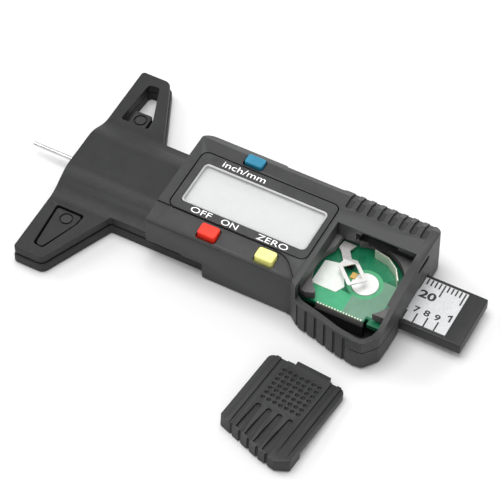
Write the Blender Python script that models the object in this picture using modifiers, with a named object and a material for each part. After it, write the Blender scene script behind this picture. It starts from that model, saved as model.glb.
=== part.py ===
"""Digital tyre tread depth gauge: T-shaped base, sliding beam with a probe, LCD housing, loose battery cover.

Numbers are in millimetres and become metres in the helpers. +X runs from the measuring face to the tail of
the beam, +Y to the side with the single button, +Z up. The gauge lies on its back on the plane z = 0, and the
beam slides along the X axis.
"""

import math

import bmesh
import bpy
from mathutils import Matrix, Vector

MM = 0.001
GAP = 0.3                      # clearance between neighbouring pieces
SMOOTH_ANGLE = 35              # edges that turn more than this stay sharp, in degrees

# ---- driving dimensions ----
FACE_X = -55.6                 # measuring face of the base
HOUSING_LEFT = -30.2
HOUSING_RIGHT = 29.7
HOUSING_NEAR = -14.4
HOUSING_FAR = 14.9
HOUSING_TOP = 13.5
WALL = 1.2
TOP_WALL = 1.4
CHAMFER_FAR = (2.4, 1.5)       # width and drop of the long chamfer on the far edge
STEP_TOP = 11.5                # the near wall is set back a little below this
STEP_DEPTH = 0.22
WAIST_DEPTH = 0.7
GRIP_COUNT = 8
GRIP_START = 8.4
GRIP_WIDTH = 1.5
GRIP_DEPTH = 0.6
RIB_COUNT = 6
RIB_START = 9.15
RIB_RADIUS = 0.4
RIB_DEPTH = 0.45
PITCH = 2.63                   # from one grip groove to the next, and from rib groove to rib groove

BASE_SEAM = 2.6                # top of the lower base shell
WING_TOP = 5.0
NOSE_TOP = 8.1
NOSE_FLAT = 4.5                # half width of the raised plateau
RAMP_END = 13.4                # where its ramps reach the height of the wings
WING_SPAN = 29.6               # half span
NECK_HALF = 12.3
NECK_END = -16.4
BOSS_REACH = 19.2              # outer end of the block that stands in each wing pocket
BOSS_TOP = 3.8
RING_DEPTH = 0.4               # of the round groove in the block and in the plug
PLUG_TOP = 4.7
PLUG_INSET = 0.5
BASE_LEDGE = 0.3               # the lower base shell stands out this far round the upper one
PLATEAU_END = -21.5

BEAM_HALF = 7.3
BEAM_BOTTOM = 1.5
BEAM_TOP = 4.5
BEAM_FRONT = -39.5
BEAM_TAIL = 44.5
BEAM_CORNER = 0.35
CHANNEL_HALF = BEAM_HALF + GAP
LABEL_HALF = 6.4
LABEL_START = 14.6             # the zero of the printed scale
LABEL_END = 40.4
STATOR_START = -37.5
PROBE_TIP = -67.8
PROBE_RADIUS = 0.5
PROBE_Z = 3.0
SLEEVE_RADIUS = 1.1
SLIDE_LINE = (0, 0, PROBE_Z)   # the beam and all on it slide along X through this point

BEZEL = (-27.5, -8.4, 6.8, 8.8)          # x, y of the low corner, then of the high corner
WINDOW = (-25.7, -6.05, 5.45, 6.1)
BEZEL_BOTTOM = 12.6
BEZEL_GAP = 0.25
BOARD_BOTTOM = 5.2
BOARD_TOP = 6.4
BOARD_OUTLINE = [(-20.6, -12.6, 0.6), (23.5, -12.6, 0.2), (23.5, -11.4), (24.3, -11.4), (24.3, -12.8),
                 (27.4, -12.8, 0.5), (27.4, 12.6, 1.0), (-20.6, 12.6, 0.6)]
LEAF_ARM = [(12.4, 2.9), (12.9, 5.3), (9.8, 5.3), (9.8, 2.6), (10.9, 1.5)]
LEAF_BEND = [(-12.0, 8.9), (-6.4, 8.9), (-0.6, 8.4), (6.0, 6.5),        # y, z along its lower face,
             (6.0, 6.8), (-0.5, 8.7), (-6.3, 9.25), (-12.0, 9.25)]      # then back along the upper one
LEAF_FRAME = (3.2, 2.3)        # half length and half width of the square frame
LEAF_HOLE = (2.4, 1.45)

COMPARTMENT = (8.3, 27.7)      # x range of the battery opening
COMPARTMENT_FAR = 4.7
RIM_TOP = 9.3
CELL = (17.9, -4.0)            # centre of the coin cell seat
CELL_HOLE_RADIUS = 10.2
PAD_CENTRE = (19.2, -3.2)      # of the round pad under the cell
PAD_RADIUS = 3.05
SIDE_RADIUS = 8.8              # of the contact round the edge of the cell
SIDE_THICKNESS = 0.3
SIDE_BENDS = (91, 66, 44, 22)  # its ends and bends, in degrees round the cell
HOLDER_Z = (6.9, 9.0)
HOLDER_STEP = (13.0, 5.9)      # beyond this corner the holder is only a thin floor
HOLDER_OUTLINE = [(7.0, -12.6, 0.4), (9.2, -13.0, 0.4), (11.2, -12.2, 0.3), (11.2, -9.5), (24.4, -9.5),
                  (24.4, -11.4, 0.3), (28.2, -11.4, 0.4), (28.2, 8.4, 0.4), (7.0, 8.4, 0.4)]
INSULATOR = [(8.3, -8.2, 0.2), (14.4, -8.2, 0.5), (15.5, -6.0, 0.2), (12.4, -0.4, 0.4), (8.4, -1.3, 0.3)]
LEAF_NOTCH = (9.4, 1.0, 13.6, 5.8)       # gap in the holder through which the contact's arm passes

COVER_HALF = 9.55              # half width of the battery cover
COVER_HEIGHT = 3.9             # from the lip's lower edge to the top
COVER_PLATE = 2.2
COVER_PLACE = (17.65, -27.6)   # middle of its far edge where it lies on the table
TABLE_CLEARANCE = 0.15
COVER_YAW = math.radians(-4.3)
COVER_TILT = math.radians(-4.44)
TONGUE = (-3.5, 4.9, 1.5)      # ends and reach of the tongue on its far edge
TONGUE_DROP = 0.6              # its top lies this far under the top of the cover
DIMPLES = 7
DIMPLE_PITCH = 1.48
DIMPLE_TOP = -2.7
PIT_RADII = (0.36, 0.8)        # of the cone that cuts a dimple, below and above the surface
PIT_RISE = 0.8
COVER_BANDS = ((-6.0, 0.85), (-9.2, 1.2), (6.7, 0.7), (9.6, 1.2))   # steps along the cover: x, half width
BAND_DEPTH = 0.35
LIP_DEPTH = 1.5
SIDE_LIP_END = -18.8           # the lip turns the corner and runs up the right side to here

BUTTONS = {                    # centre x, y, size x, y, height of the top
    "off_on_button": (-15.7, -11.1, 4.5, 3.2, 13.9),
    "zero_button": (-1.4, -11.15, 4.5, 3.1, 13.9),
    "inch_mm_button": (-15.85, 11.2, 4.5, 2.7, 14.2),
}
BUTTON_FOOT = 10.9             # underside of the side lugs that keep a button in
BACK_BOSSES = [(25.2, 11.2), (4.5, -10.9), (-4.0, 11.2)]
NECK_SCREWS = [(-25.0, -10.5), (-25.0, 10.5)]
HEAD_RADIUS = 1.25             # screw heads, and the wider sinks they sit in
SINK_RADIUS = 1.55
SINK_DEPTH = 1.2
NOSE_SCREWS = [(-49.5, -10.4), (-49.5, 10.4)]
SCREW_HOLE = 0.95              # radius of the holes in the bosses
THROUGH_HOLE = 1.1             # and in the shells under them

# The near side of the battery section swells outwards in a shallow arc with a tight right corner.
BULGE = [(6.4, -14.4), (9.3, -16.7), (14.4, -17.9), (19.6, -19.4), (24.6, -20.2)]

BLACK = (0.035, 0.036, 0.038)


# ---- helpers ----
def clear_scene():
    for item in list(bpy.data.objects):
        bpy.data.objects.remove(item, do_unlink=True)


def new_collection(name):
    group = bpy.data.collections.new(name)
    bpy.context.scene.collection.children.link(group)
    return group


clear_scene()
PARTS = new_collection("tread_depth_gauge")
CUTTERS = new_collection("cutters")


def material(name, colour, roughness=0.5, metallic=0.0, alpha=1.0):
    found = bpy.data.materials.get(name)
    if found:
        return found
    made = bpy.data.materials.new(name)
    made.use_nodes = True
    shader = made.node_tree.nodes["Principled BSDF"]
    shader.inputs["Base Color"].default_value = (*colour, 1.0)
    shader.inputs["Roughness"].default_value = roughness
    shader.inputs["Metallic"].default_value = metallic
    shader.inputs["Alpha"].default_value = alpha
    return made


def add_mesh(name, mesh, group):
    made = bpy.data.objects.new(name, mesh)
    group.objects.link(made)
    return made


def part(name, shape, finish, origin=(0, 0, 0)):
    """Name a shape as a node, give it its material, and put its origin on the line it moves along."""
    place = Vector(origin) * MM
    shape.data.transform(Matrix.Translation(-place))
    shape.location = place
    shape.data.shade_smooth()
    shape.data.set_sharp_from_angle(angle=math.radians(SMOOTH_ANGLE))
    shape.name = name
    shape.data.name = name
    shape.data.materials.clear()
    shape.data.materials.append(finish)
    for group in list(shape.users_collection):
        group.objects.unlink(shape)
    PARTS.objects.link(shape)
    shape.hide_render = False
    shape.display_type = "TEXTURED"
    return shape


def as_cutter(shape):
    shape.hide_render = True
    shape.display_type = "WIRE"
    return shape


def box(low, high):
    """A box between two corners."""
    mesh = bpy.data.meshes.new("box")
    shape = bmesh.new()
    bmesh.ops.create_cube(shape, size=1.0)
    size = [(b - a) * MM for a, b in zip(low, high)]
    middle = [(a + b) / 2 * MM for a, b in zip(low, high)]
    bmesh.ops.scale(shape, vec=size, verts=shape.verts)
    bmesh.ops.translate(shape, vec=middle, verts=shape.verts)
    shape.to_mesh(mesh)
    shape.free()
    return as_cutter(add_mesh("box", mesh, CUTTERS))


def cylinder(centre, radius, low, high, axis="Z", sides=32):
    """A cylinder about a line through centre, a pair of the two other coordinates in x, y, z order."""
    mesh = bpy.data.meshes.new("cylinder")
    shape = bmesh.new()
    bmesh.ops.create_cone(shape, cap_ends=True, segments=sides, radius1=radius * MM, radius2=radius * MM,
                          depth=(high - low) * MM)
    middle = (low + high) / 2
    if axis == "X":
        turn = Matrix.Rotation(math.pi / 2, 3, "Y")
        bmesh.ops.rotate(shape, cent=(0, 0, 0), matrix=turn, verts=shape.verts)
        place = (middle, centre[0], centre[1])
    else:
        place = (centre[0], centre[1], middle)
    bmesh.ops.translate(shape, vec=Vector(place) * MM, verts=shape.verts)
    shape.to_mesh(mesh)
    shape.free()
    return as_cutter(add_mesh("cylinder", mesh, CUTTERS))


def rounded(corners, steps=6):
    """Outline through corners (x, y) or (x, y, radius), counter-clockwise, with an arc at each radius."""
    points = []
    count = len(corners)
    for i, corner in enumerate(corners):
        here = Vector(corner[:2])
        radius = corner[2] if len(corner) > 2 else 0.0
        if radius <= 0:
            points.append(tuple(here))
            continue
        back = (Vector(corners[i - 1][:2]) - here).normalized()
        ahead = (Vector(corners[(i + 1) % count][:2]) - here).normalized()
        half = back.angle(ahead) / 2
        reach = radius / math.tan(half)
        centre = here + (back + ahead).normalized() * (radius / math.sin(half))
        start = here + back * reach - centre
        end = here + ahead * reach - centre
        turn = math.atan2(start.x * end.y - start.y * end.x, start.dot(end))
        for k in range(steps + 1):
            spoke = start.copy()
            spoke.rotate(Matrix.Rotation(turn * k / steps, 2))
            points.append(tuple(centre + spoke))
    return points


def rectangle(x0, y0, x1, y1, radius=0.0):
    return rounded([(x0, y0, radius), (x1, y0, radius), (x1, y1, radius), (x0, y1, radius)])


def prism(outlines, low, high, axis="Z"):
    """Extrude flat outlines (the first is the rim, others are holes) along Z, or y-z outlines along X."""
    curve = bpy.data.curves.new("outline", "CURVE")
    curve.dimensions = "2D"
    curve.fill_mode = "BOTH"
    curve.extrude = (high - low) / 2 * MM
    for outline in outlines:
        spline = curve.splines.new("POLY")
        spline.points.add(len(outline) - 1)
        for point, (u, v) in zip(spline.points, outline):
            point.co = (u * MM, v * MM, 0, 1)
        spline.use_cyclic_u = True
    guide = bpy.data.objects.new("outline", curve)
    CUTTERS.objects.link(guide)
    bpy.context.view_layer.update()
    mesh = bpy.data.meshes.new_from_object(guide.evaluated_get(bpy.context.evaluated_depsgraph_get()))
    bpy.data.objects.remove(guide, do_unlink=True)
    shape = bmesh.new()
    shape.from_mesh(mesh)
    bmesh.ops.remove_doubles(shape, verts=shape.verts, dist=1e-7)
    bmesh.ops.dissolve_limit(shape, angle_limit=math.radians(0.5), verts=shape.verts, edges=shape.edges)
    middle = (low + high) / 2 * MM
    place = Matrix.Translation((0, 0, middle))
    if axis == "X":
        place = Matrix(((0, 0, 1, middle), (1, 0, 0, 0), (0, 1, 0, 0), (0, 0, 0, 1)))
    bmesh.ops.transform(shape, matrix=place, verts=shape.verts)
    bmesh.ops.recalc_face_normals(shape, faces=shape.faces)
    shape.to_mesh(mesh)
    shape.free()
    return as_cutter(add_mesh("prism", mesh, CUTTERS))


def boolean(target, tools, operation):
    for tool in tools:
        step = target.modifiers.new(operation.lower(), "BOOLEAN")
        step.operation = operation
        step.solver = "EXACT"
        step.object = tool
    return target


def cut(target, *tools):
    return boolean(target, tools, "DIFFERENCE")


def join(target, *tools):
    return boolean(target, tools, "UNION")


def keep_inside(target, *tools):
    return boolean(target, tools, "INTERSECT")


def soften(target, width, segments=2, angle=40):
    """Round the edges with a bevel."""
    step = target.modifiers.new("bevel", "BEVEL")
    step.width = width * MM
    step.segments = segments
    step.limit_method = "ANGLE"
    step.angle_limit = math.radians(angle)
    step.harden_normals = False
    return target


def manifold(target):
    """Cut with the MANIFOLD solver, for a shell on which EXACT leaves open edges."""
    for step in target.modifiers:
        if step.type == "BOOLEAN":
            step.solver = "MANIFOLD"
    return target


# ---- outlines shared by several pieces ----
def base_profile(grow=0.0, bottom=BASE_SEAM + GAP):
    """Section of the base across Y: wings, a raised plateau and smooth ramps between them."""
    half = [(WING_SPAN + 1, WING_TOP + grow)]
    steps = 14
    for i in range(steps + 1):
        t = i / steps
        y = RAMP_END + (NOSE_FLAT - RAMP_END) * t
        z = WING_TOP + (NOSE_TOP - WING_TOP) * (0.5 - 0.5 * math.cos(math.pi * t))
        half.append((y, z + grow))
    mirrored = [(-y, z) for y, z in reversed(half)]
    return [(-WING_SPAN - 1, bottom), (WING_SPAN + 1, bottom)] + half + mirrored


def base_plan(grow=0.0):
    """The T seen from above: measuring face at low X, tapered wings, neck."""
    tip = FACE_X + 7.4 + grow
    root = FACE_X + 15.2 + grow
    span = WING_SPAN + grow
    neck = NECK_HALF + grow
    return rounded([(FACE_X, -span, 0.8), (tip, -span, 2.0), (root, -neck, 0.6), (NECK_END, -neck),
                    (NECK_END, neck), (root, neck, 0.6), (tip, span, 2.0), (FACE_X, span, 0.8)])


def pocket_plan(side, inset=0.0):
    """The tapered opening in one wing."""
    corners = [(FACE_X + 2.6 + inset, 14.5 + inset, 0.6), (FACE_X + 9.8 - inset, 14.5 + inset, 0.6),
               (FACE_X + 9.5 - inset, 17.5, 0.5), (FACE_X + 6.0 - inset, 26.9 - inset, 0.8),
               (FACE_X + 3.4 + inset, 26.6 - inset, 0.8)]
    if side > 0:
        return rounded(corners)
    return rounded([(x, -y, r) for x, y, r in reversed(corners)])


def housing_plan(inset=0.0):
    """The housing seen from above, with the battery bulge on the near side."""
    corner = 2.6 - min(inset, 1.5)
    near = [(x + inset * 0.35, y + inset) for x, y in BULGE]
    near[0] = (BULGE[0][0] + inset * 0.3, HOUSING_NEAR + inset)
    right = HOUSING_RIGHT - inset
    return rounded(
        [(HOUSING_LEFT + inset, HOUSING_NEAR + inset)] + near + [
            (26.9 - inset * 0.5, -20.0 + inset, 1.6), (right - 0.2, -16.6 + inset * 0.6, 2.0),
            (right, -12.5), (right, HOUSING_FAR - inset, corner),
            (HOUSING_LEFT + inset, HOUSING_FAR - inset, corner)])


def housing_profile():
    """Section of the housing across Y, with the chamfer along the far top edge."""
    width, drop = CHAMFER_FAR
    return [(-25.0, GAP), (HOUSING_FAR, GAP), (HOUSING_FAR, HOUSING_TOP - drop),
            (HOUSING_FAR - width, HOUSING_TOP), (-25.0, HOUSING_TOP)]


# ---- base ----
def make_base():
    plastic = material("base_plastic", BLACK, 0.5)
    upper = prism([base_plan()], BASE_SEAM + GAP, NOSE_TOP + 2)
    keep_inside(upper, prism([base_profile()], -70, 0, axis="X"))
    soften(upper, 0.55, segments=3, angle=50)
    cut(upper, box((FACE_X + 2.0, -CHANNEL_HALF, 0), (0, CHANNEL_HALF + 0.6, BEAM_TOP + GAP)))
    cut(upper, box((PLATEAU_END, -20, BEAM_TOP + 0.2), (0, 20, 12)))
    lower = prism([base_plan(BASE_LEDGE)], 0, BASE_SEAM)
    soften(lower, 0.35, angle=50)
    cut(lower, box((FACE_X + 2.0, -CHANNEL_HALF, BEAM_BOTTOM - GAP), (0, CHANNEL_HALF + 0.6, 6)))
    probe_hole = cylinder((0, PROBE_Z), PROBE_RADIUS + GAP, -60, -50, axis="X", sides=20)
    cut(upper, probe_hole)
    cut(lower, probe_hole)
    for side in (1, -1):
        cut(upper, prism([pocket_plan(side)], -1, 9))
    # The far wing is open right through, apart from a block; the near wing's opening is filled by a plug.
    cut(lower, prism([pocket_plan(1)], -1, 9))
    join(lower, box((FACE_X + 4.1, 13.9, 0.4), (FACE_X + 8.5, BOSS_REACH, BASE_SEAM - 0.4)))
    join(lower, prism([rectangle(FACE_X + 4.1, 14.9, FACE_X + 8.5, BOSS_REACH, 0.5)], 1.0, BOSS_TOP))
    join(lower, prism([pocket_plan(-1, PLUG_INSET)], 1.0, PLUG_TOP))
    for middle, top in (((FACE_X + 6.4, 17.0), BOSS_TOP), ((FACE_X + 6.4, -17.0), PLUG_TOP)):
        cut(lower, prism([ring(*middle, 1.6), ring(*middle, 1.25)], top - RING_DEPTH, top + 1))
    for x, y in NECK_SCREWS + NOSE_SCREWS:
        cut(lower, cylinder((x, y), SINK_RADIUS, -1, SINK_DEPTH, sides=24))
        cut(lower, cylinder((x, y), THROUGH_HOLE, -1, 4, sides=20))
    for x, y in NECK_SCREWS:
        cut(upper, cylinder((x, y), THROUGH_HOLE, 0, 12, sides=20))
    for x, y in NOSE_SCREWS:
        cut(upper, cylinder((x, y), THROUGH_HOLE, 0, 4.6, sides=20))
    part("base_upper_shell", manifold(upper), plastic)
    part("base_lower_shell", lower, plastic)


def ring(x, y, radius, sides=28):
    return [(x + radius * math.cos(2 * math.pi * i / sides), y + radius * math.sin(2 * math.pi * i / sides))
            for i in range(sides)]


# ---- housing ----
def make_housing():
    plastic = material("housing_plastic", BLACK, 0.5)
    shell = prism([housing_plan()], GAP, HOUSING_TOP + 1)
    keep_inside(shell, prism([housing_profile()], -40, 40, axis="X"))
    soften(shell, 0.3, angle=50)
    cut(shell, prism([housing_plan(WALL)], -1, HOUSING_TOP - TOP_WALL))
    cut(shell, box((COMPARTMENT[0], -30, RIM_TOP), (COMPARTMENT[1], COMPARTMENT_FAR, 20)))
    cut(shell, button_strip_cutter())
    cut(shell, right_wall_cutter(), tongue_slot())
    x0, y0, x1, y1 = BEZEL
    cut(shell, prism([rectangle(x0 - BEZEL_GAP, y0 - BEZEL_GAP, x1 + BEZEL_GAP, y1 + BEZEL_GAP, 1.8)], 10, 15))
    for x, y, size_x, size_y, _top in BUTTONS.values():
        a, b = size_x / 2 + 0.3, size_y / 2 + 0.25
        cut(shell, prism([rectangle(x - a, y - b - 0.3, x + a, y + b, 0.8)], 10, 15))
    cut(shell, box((-40, -20, -1), (NECK_END + 0.5, 20, WING_TOP)))
    cut(shell, prism([base_profile(grow=GAP, bottom=0)], -40, PLATEAU_END + GAP, axis="X"))
    cut(shell, box((20, -CHANNEL_HALF, 0), (40, CHANNEL_HALF, BEAM_TOP + 0.4)))
    cut(shell, prism([rectangle(1.6, 10.6, 7.0, 12.2, 0.75)], 28, 31, axis="X"))
    cut(shell, near_wall_step(), waist_cutter(), bulge_seam())
    for i in range(GRIP_COUNT):
        cut(shell, grip_cutter(GRIP_START + PITCH * i))
    for x in rib_positions():
        cut(shell, rib_cutter(x, bulge_y(x), RIM_TOP - 0.9))
    join(shell, *compartment_walls())
    for x, y in BACK_BOSSES:
        join(shell, cylinder((x, y), 1.7, 2.6, HOUSING_TOP - TOP_WALL + 0.4, sides=24))
        cut(shell, cylinder((x, y), SCREW_HOLE, 1, 9.5, sides=20))
    for x, y in NECK_SCREWS:
        join(shell, cylinder((x, y), 1.45, 7.5, HOUSING_TOP - TOP_WALL + 0.4, sides=24))
        cut(shell, cylinder((x, y), SCREW_HOLE, 1, 11.0, sides=20))
    part("front_housing", shell, plastic)


def near_wall_step():
    """Sets the wall under the near top edge back a little, from the left end to the battery bulge."""
    plan = [(HOUSING_LEFT - 1, HOUSING_NEAR - 1), (5.4, HOUSING_NEAR - 1), (5.4, HOUSING_NEAR + STEP_DEPTH),
            (HOUSING_LEFT - 1, HOUSING_NEAR + STEP_DEPTH)]
    return prism([plan], -1, STEP_TOP)


def waist_cutter():
    """A long shallow relief in the far side, between the single button and the grip grooves."""
    outer = HOUSING_FAR + 1
    plan = [(-11.0, outer), (-9.0, HOUSING_FAR - WAIST_DEPTH), (5.0, HOUSING_FAR - WAIST_DEPTH), (7.0, outer)]
    return prism([list(reversed(plan))], -1, 20)


def bulge_seam():
    """A fine seam round the right end of the bulge."""
    band = prism([housing_plan(-1.0), housing_plan(0.25)], 5.7, 5.95)
    return as_cutter(keep_inside(band, box((23.9, -25, 5), (32, -9.5, 7))))


def grip_cutter(x):
    """One finger groove: round at its near end, and following the chamfer of the far edge."""
    half = GRIP_WIDTH / 2
    arc = half * 0.95
    plan = rounded([(x - half, 9.1, arc), (x + half, 9.1, arc), (x + half, 17), (x - half, 17)])
    bed = HOUSING_TOP - GRIP_DEPTH
    bend = HOUSING_FAR - CHAMFER_FAR[0] - 0.3
    floor = [(8.0, bed), (bend, bed), (17.0, bed - 2.4), (17.0, 15.0), (8.0, 15.0)]
    return as_cutter(keep_inside(prism([plan], 10, 15), prism([floor], 0, 40, axis="X")))


def compartment_walls():
    """Inner walls that close the battery compartment off from the display and from the far side."""
    under = HOUSING_TOP - TOP_WALL + 0.3
    left = COMPARTMENT[0]
    far = COMPARTMENT_FAR
    return (box((left - 1.15, HOUSING_NEAR + 0.9, RIM_TOP), (left - 0.05, far + 0.1, under)),
            box((left - 1.15, far + 0.05, RIM_TOP), (left + 4.6, far + 2.0, under)),
            box((left + 4.5, far + 2.8, RIM_TOP), (HOUSING_RIGHT - 1.0, far + 3.8, under)),
            box((left + 3.6, far + 1.0, RIM_TOP), (left + 4.6, far + 3.8, under)))


def bulge_y(x):
    """The near face of the battery bulge at a place along X."""
    for (xa, ya), (xb, yb) in zip(BULGE, BULGE[1:]):
        if xa <= x <= xb:
            return ya + (yb - ya) * (x - xa) / (xb - xa)
    return BULGE[-1][1]


def rib_positions():
    return [RIB_START + PITCH * i for i in range(RIB_COUNT)]


def rib_cutter(x, wall_y, high):
    """A groove with a round bed, up a near wall that stands at wall_y."""
    bed = wall_y + RIB_DEPTH
    half = RIB_RADIUS
    return prism([rounded([(x - half, wall_y - 3), (x + half, wall_y - 3), (x + half, bed, half * 0.9),
                           (x - half, bed, half * 0.9)], steps=3)], -1, high)


def button_strip_cutter():
    """The sloping bed of the two near buttons: a lip along its near edge, an arc at the battery section."""
    left, front, back = HOUSING_LEFT - 2, HOUSING_NEAR - 2, BEZEL[1] - 0.1
    plan = rounded([(left, front), (7.0, front), (6.6, -13.5), (2.9, -9.2, 5.5), (-2.0, back), (left, back)])
    strip = prism([plan], HOUSING_TOP - 1.3, HOUSING_TOP + 2)
    near = HOUSING_NEAR
    lip = HOUSING_TOP - 0.75
    bed = [(front, lip - 0.3), (near, lip - 0.3), (near + 0.3, lip), (near + 0.6, lip),
           (near + 0.9, lip - 0.35), (back + 1.0, HOUSING_TOP - 0.3), (back + 1.0, 18.0), (front, 18.0)]
    return as_cutter(keep_inside(strip, prism([bed], -40, 20, axis="X")))


def tongue_slot():
    """The recess under the far edge of the compartment that takes the tongue of the cover."""
    middle = sum(COMPARTMENT) / 2
    return box((middle + TONGUE[0] - GAP, COMPARTMENT_FAR - 0.5, 10.5),
               (middle + TONGUE[1] + GAP, COMPARTMENT_FAR + TONGUE[2] + GAP, HOUSING_TOP - TONGUE_DROP + 0.1))


def right_wall_cutter():
    """The top of the right end wall falls in a curve to the rim of the ribbed wall."""
    fall = [(2.6, 13.5), (-4.0, 13.1), (-8.5, 12.5), (-12.5, 11.5), (-15.8, 10.1), (-17.3, RIM_TOP)]
    return prism([fall + [(-30, RIM_TOP), (-30, 18), (2.6, 18)]], COMPARTMENT[1] - 0.4, 40, axis="X")


def make_back_cover():
    cover = prism([clip_left(housing_plan(WALL + GAP), NECK_END + 0.8)], 0, 1.2)
    for side in (-1, 1):
        y0, y1 = sorted((side * CHANNEL_HALF, side * (CHANNEL_HALF + 1.0)))
        join(cover, box((NECK_END + 1.2, y0, 1.0), (27.9, y1, 4.6)))
    join(cover, box((11.6, -13.0, 1.0), (23.5, -12.2, 4.9)))
    for x, y in BACK_BOSSES:
        join(cover, cylinder((x, y), 1.9, 1.0, 2.3, sides=24))
        cut(cover, cylinder((x, y), SINK_RADIUS, -1, SINK_DEPTH + 0.1, sides=24))
        cut(cover, cylinder((x, y), SCREW_HOLE, -1, 4, sides=20))
    part("back_cover", cover, material("back_plastic", BLACK, 0.55))


def clip_left(outline, x):
    """The part of an outline to the right of x."""
    return [(max(u, x), v) for u, v in outline]


# ---- display ----
def make_display():
    x0, y0, x1, y1 = BEZEL
    bezel = prism([rectangle(x0, y0, x1, y1, 1.6), rectangle(*WINDOW, 1.2)], BEZEL_BOTTOM, HOUSING_TOP + 0.05)
    soften(bezel, 0.12, segments=1, angle=50)
    part("display_bezel", bezel, material("bezel_plastic", (0.05, 0.05, 0.055), 0.35))
    wx0, wy0, wx1, wy1 = WINDOW
    pane = prism([rectangle(wx0 + 0.1, wy0 + 0.1, wx1 - 0.1, wy1 - 0.1, 1.1)],
                 BEZEL_BOTTOM + 0.05, BEZEL_BOTTOM + 0.5)
    part("display_window", pane, material("clear_acrylic", (0.9, 0.92, 0.92), 0.05, alpha=0.3))
    panel = box((x0 + 0.3, -8.0, BEZEL_BOTTOM - 2.1), (x1 - 0.3, 8.0, BEZEL_BOTTOM - 0.3))
    part("lcd_panel", panel, material("lcd_grey", (0.75, 0.77, 0.75), 0.3))
    frame = prism([rectangle(x0 + 0.1, -8.3, x1 - 0.1, 8.3, 0.5), rectangle(-19.0, -7.4, x1 - 1.2, 7.4, 0.5)],
                  8.6, BEZEL_BOTTOM - 2.4)
    part("lcd_frame", frame, material("frame_plastic", (0.6, 0.6, 0.58), 0.5))
    for name, y in (("near", -6.1), ("far", 6.1)):
        strip = box((-14.0, y - 0.9, BOARD_TOP + 0.1), (4.5, y + 0.9, BEZEL_BOTTOM - 2.2))
        part(f"zebra_connector_{name}", strip, material("elastomer", (0.5, 0.5, 0.55), 0.6))


# ---- electronics ----
def make_board():
    board = prism([rounded(BOARD_OUTLINE)], BOARD_BOTTOM, BOARD_TOP)
    for x, y in BACK_BOSSES:
        cut(board, cylinder((x, y), 2.0, 0, 20, sides=24))
    part("main_circuit_board", board, material("board_green", (0.02, 0.28, 0.13), 0.35))
    blob = cylinder((-5.0, 0.0), 4.2, BOARD_TOP + 0.05, BOARD_TOP + 1.4)
    soften(blob, 0.7, segments=3)
    part("controller_blob", blob, material("epoxy_black", (0.01, 0.01, 0.012), 0.25))
    pad = cylinder(PAD_CENTRE, PAD_RADIUS, BOARD_TOP + 0.05, BOARD_TOP + 0.2)
    part("negative_pad", pad, material("tin", (0.85, 0.86, 0.84), 0.3, 1.0))
    foam = prism([rounded(INSULATOR)], BOARD_TOP + 0.05, BOARD_TOP + 0.25)
    part("insulating_pad", foam, material("pad_white", (0.8, 0.83, 0.78), 0.7))
    for name, (x, y, *_rest) in BUTTONS.items():
        body = box((x - 2.0, y - 1.4, BOARD_TOP + 0.05), (x + 2.0, y + 1.4, 8.8))
        join(body, cylinder((x, y), 1.0, 8.5, 10.2, sides=20))
        part(name.replace("_button", "_switch"), body, material("switch_grey", (0.25, 0.25, 0.26), 0.4))


def make_battery_contacts():
    steel = material("spring_steel", (0.8, 0.8, 0.78), 0.25, 1.0)
    holder = prism([rounded(HOLDER_OUTLINE)], *HOLDER_Z)
    cut(holder, cylinder(CELL, CELL_HOLE_RADIUS, 0, 20, sides=64))
    cut(holder, prism([rectangle(*LEAF_NOTCH)], 0, 20), box((*HOLDER_STEP, HOLDER_Z[0] + 0.7), (30, 20, 20)))
    part("battery_holder", holder, material("holder_grey", (0.09, 0.085, 0.085), 0.5))

    leaf = contact_leaf()
    part("battery_spring_contact", leaf, steel)
    part("battery_side_contact", prism([side_contact_plan()], BOARD_TOP + 0.05, 9.2), steel)


def side_contact_plan():
    """A bent strip round the right and far sides of the cell."""
    spokes = [(math.cos(math.radians(bend)), math.sin(math.radians(bend))) for bend in SIDE_BENDS]
    inner_radius = SIDE_RADIUS - SIDE_THICKNESS
    outer = [(CELL[0] + SIDE_RADIUS * u, CELL[1] + SIDE_RADIUS * v) for u, v in spokes]
    inner = [(CELL[0] + inner_radius * u, CELL[1] + inner_radius * v) for u, v in reversed(spokes)]
    return outer + inner


def contact_leaf():
    """A flat spring: an arm on the board, a rising strip and a square frame that presses on the cell."""
    angle = math.radians(-43.5)
    frame_middle = Vector((16.1, -3.25))
    along = Vector((math.cos(angle), math.sin(angle)))
    across = Vector((-along.y, along.x))

    def spot(u, v):
        return tuple(frame_middle + along * u + across * v)

    length, width = LEAF_FRAME
    plan = rounded([spot(length, -width) + (0.5,), spot(length, width) + (0.5,), spot(-length, width) + (0.5,),
                    spot(-length - 0.8, 1.2)] + LEAF_ARM + [spot(-length - 0.8, -0.8),
                                                            spot(-length, -width) + (0.5,)])
    length, width = LEAF_HOLE
    hole = rounded([spot(length, -width), spot(length, width), spot(-length, width), spot(-length, -width)])
    return keep_inside(prism([plan, hole], 0.0, 10.0), prism([LEAF_BEND], 0, 40, axis="X"))


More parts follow.
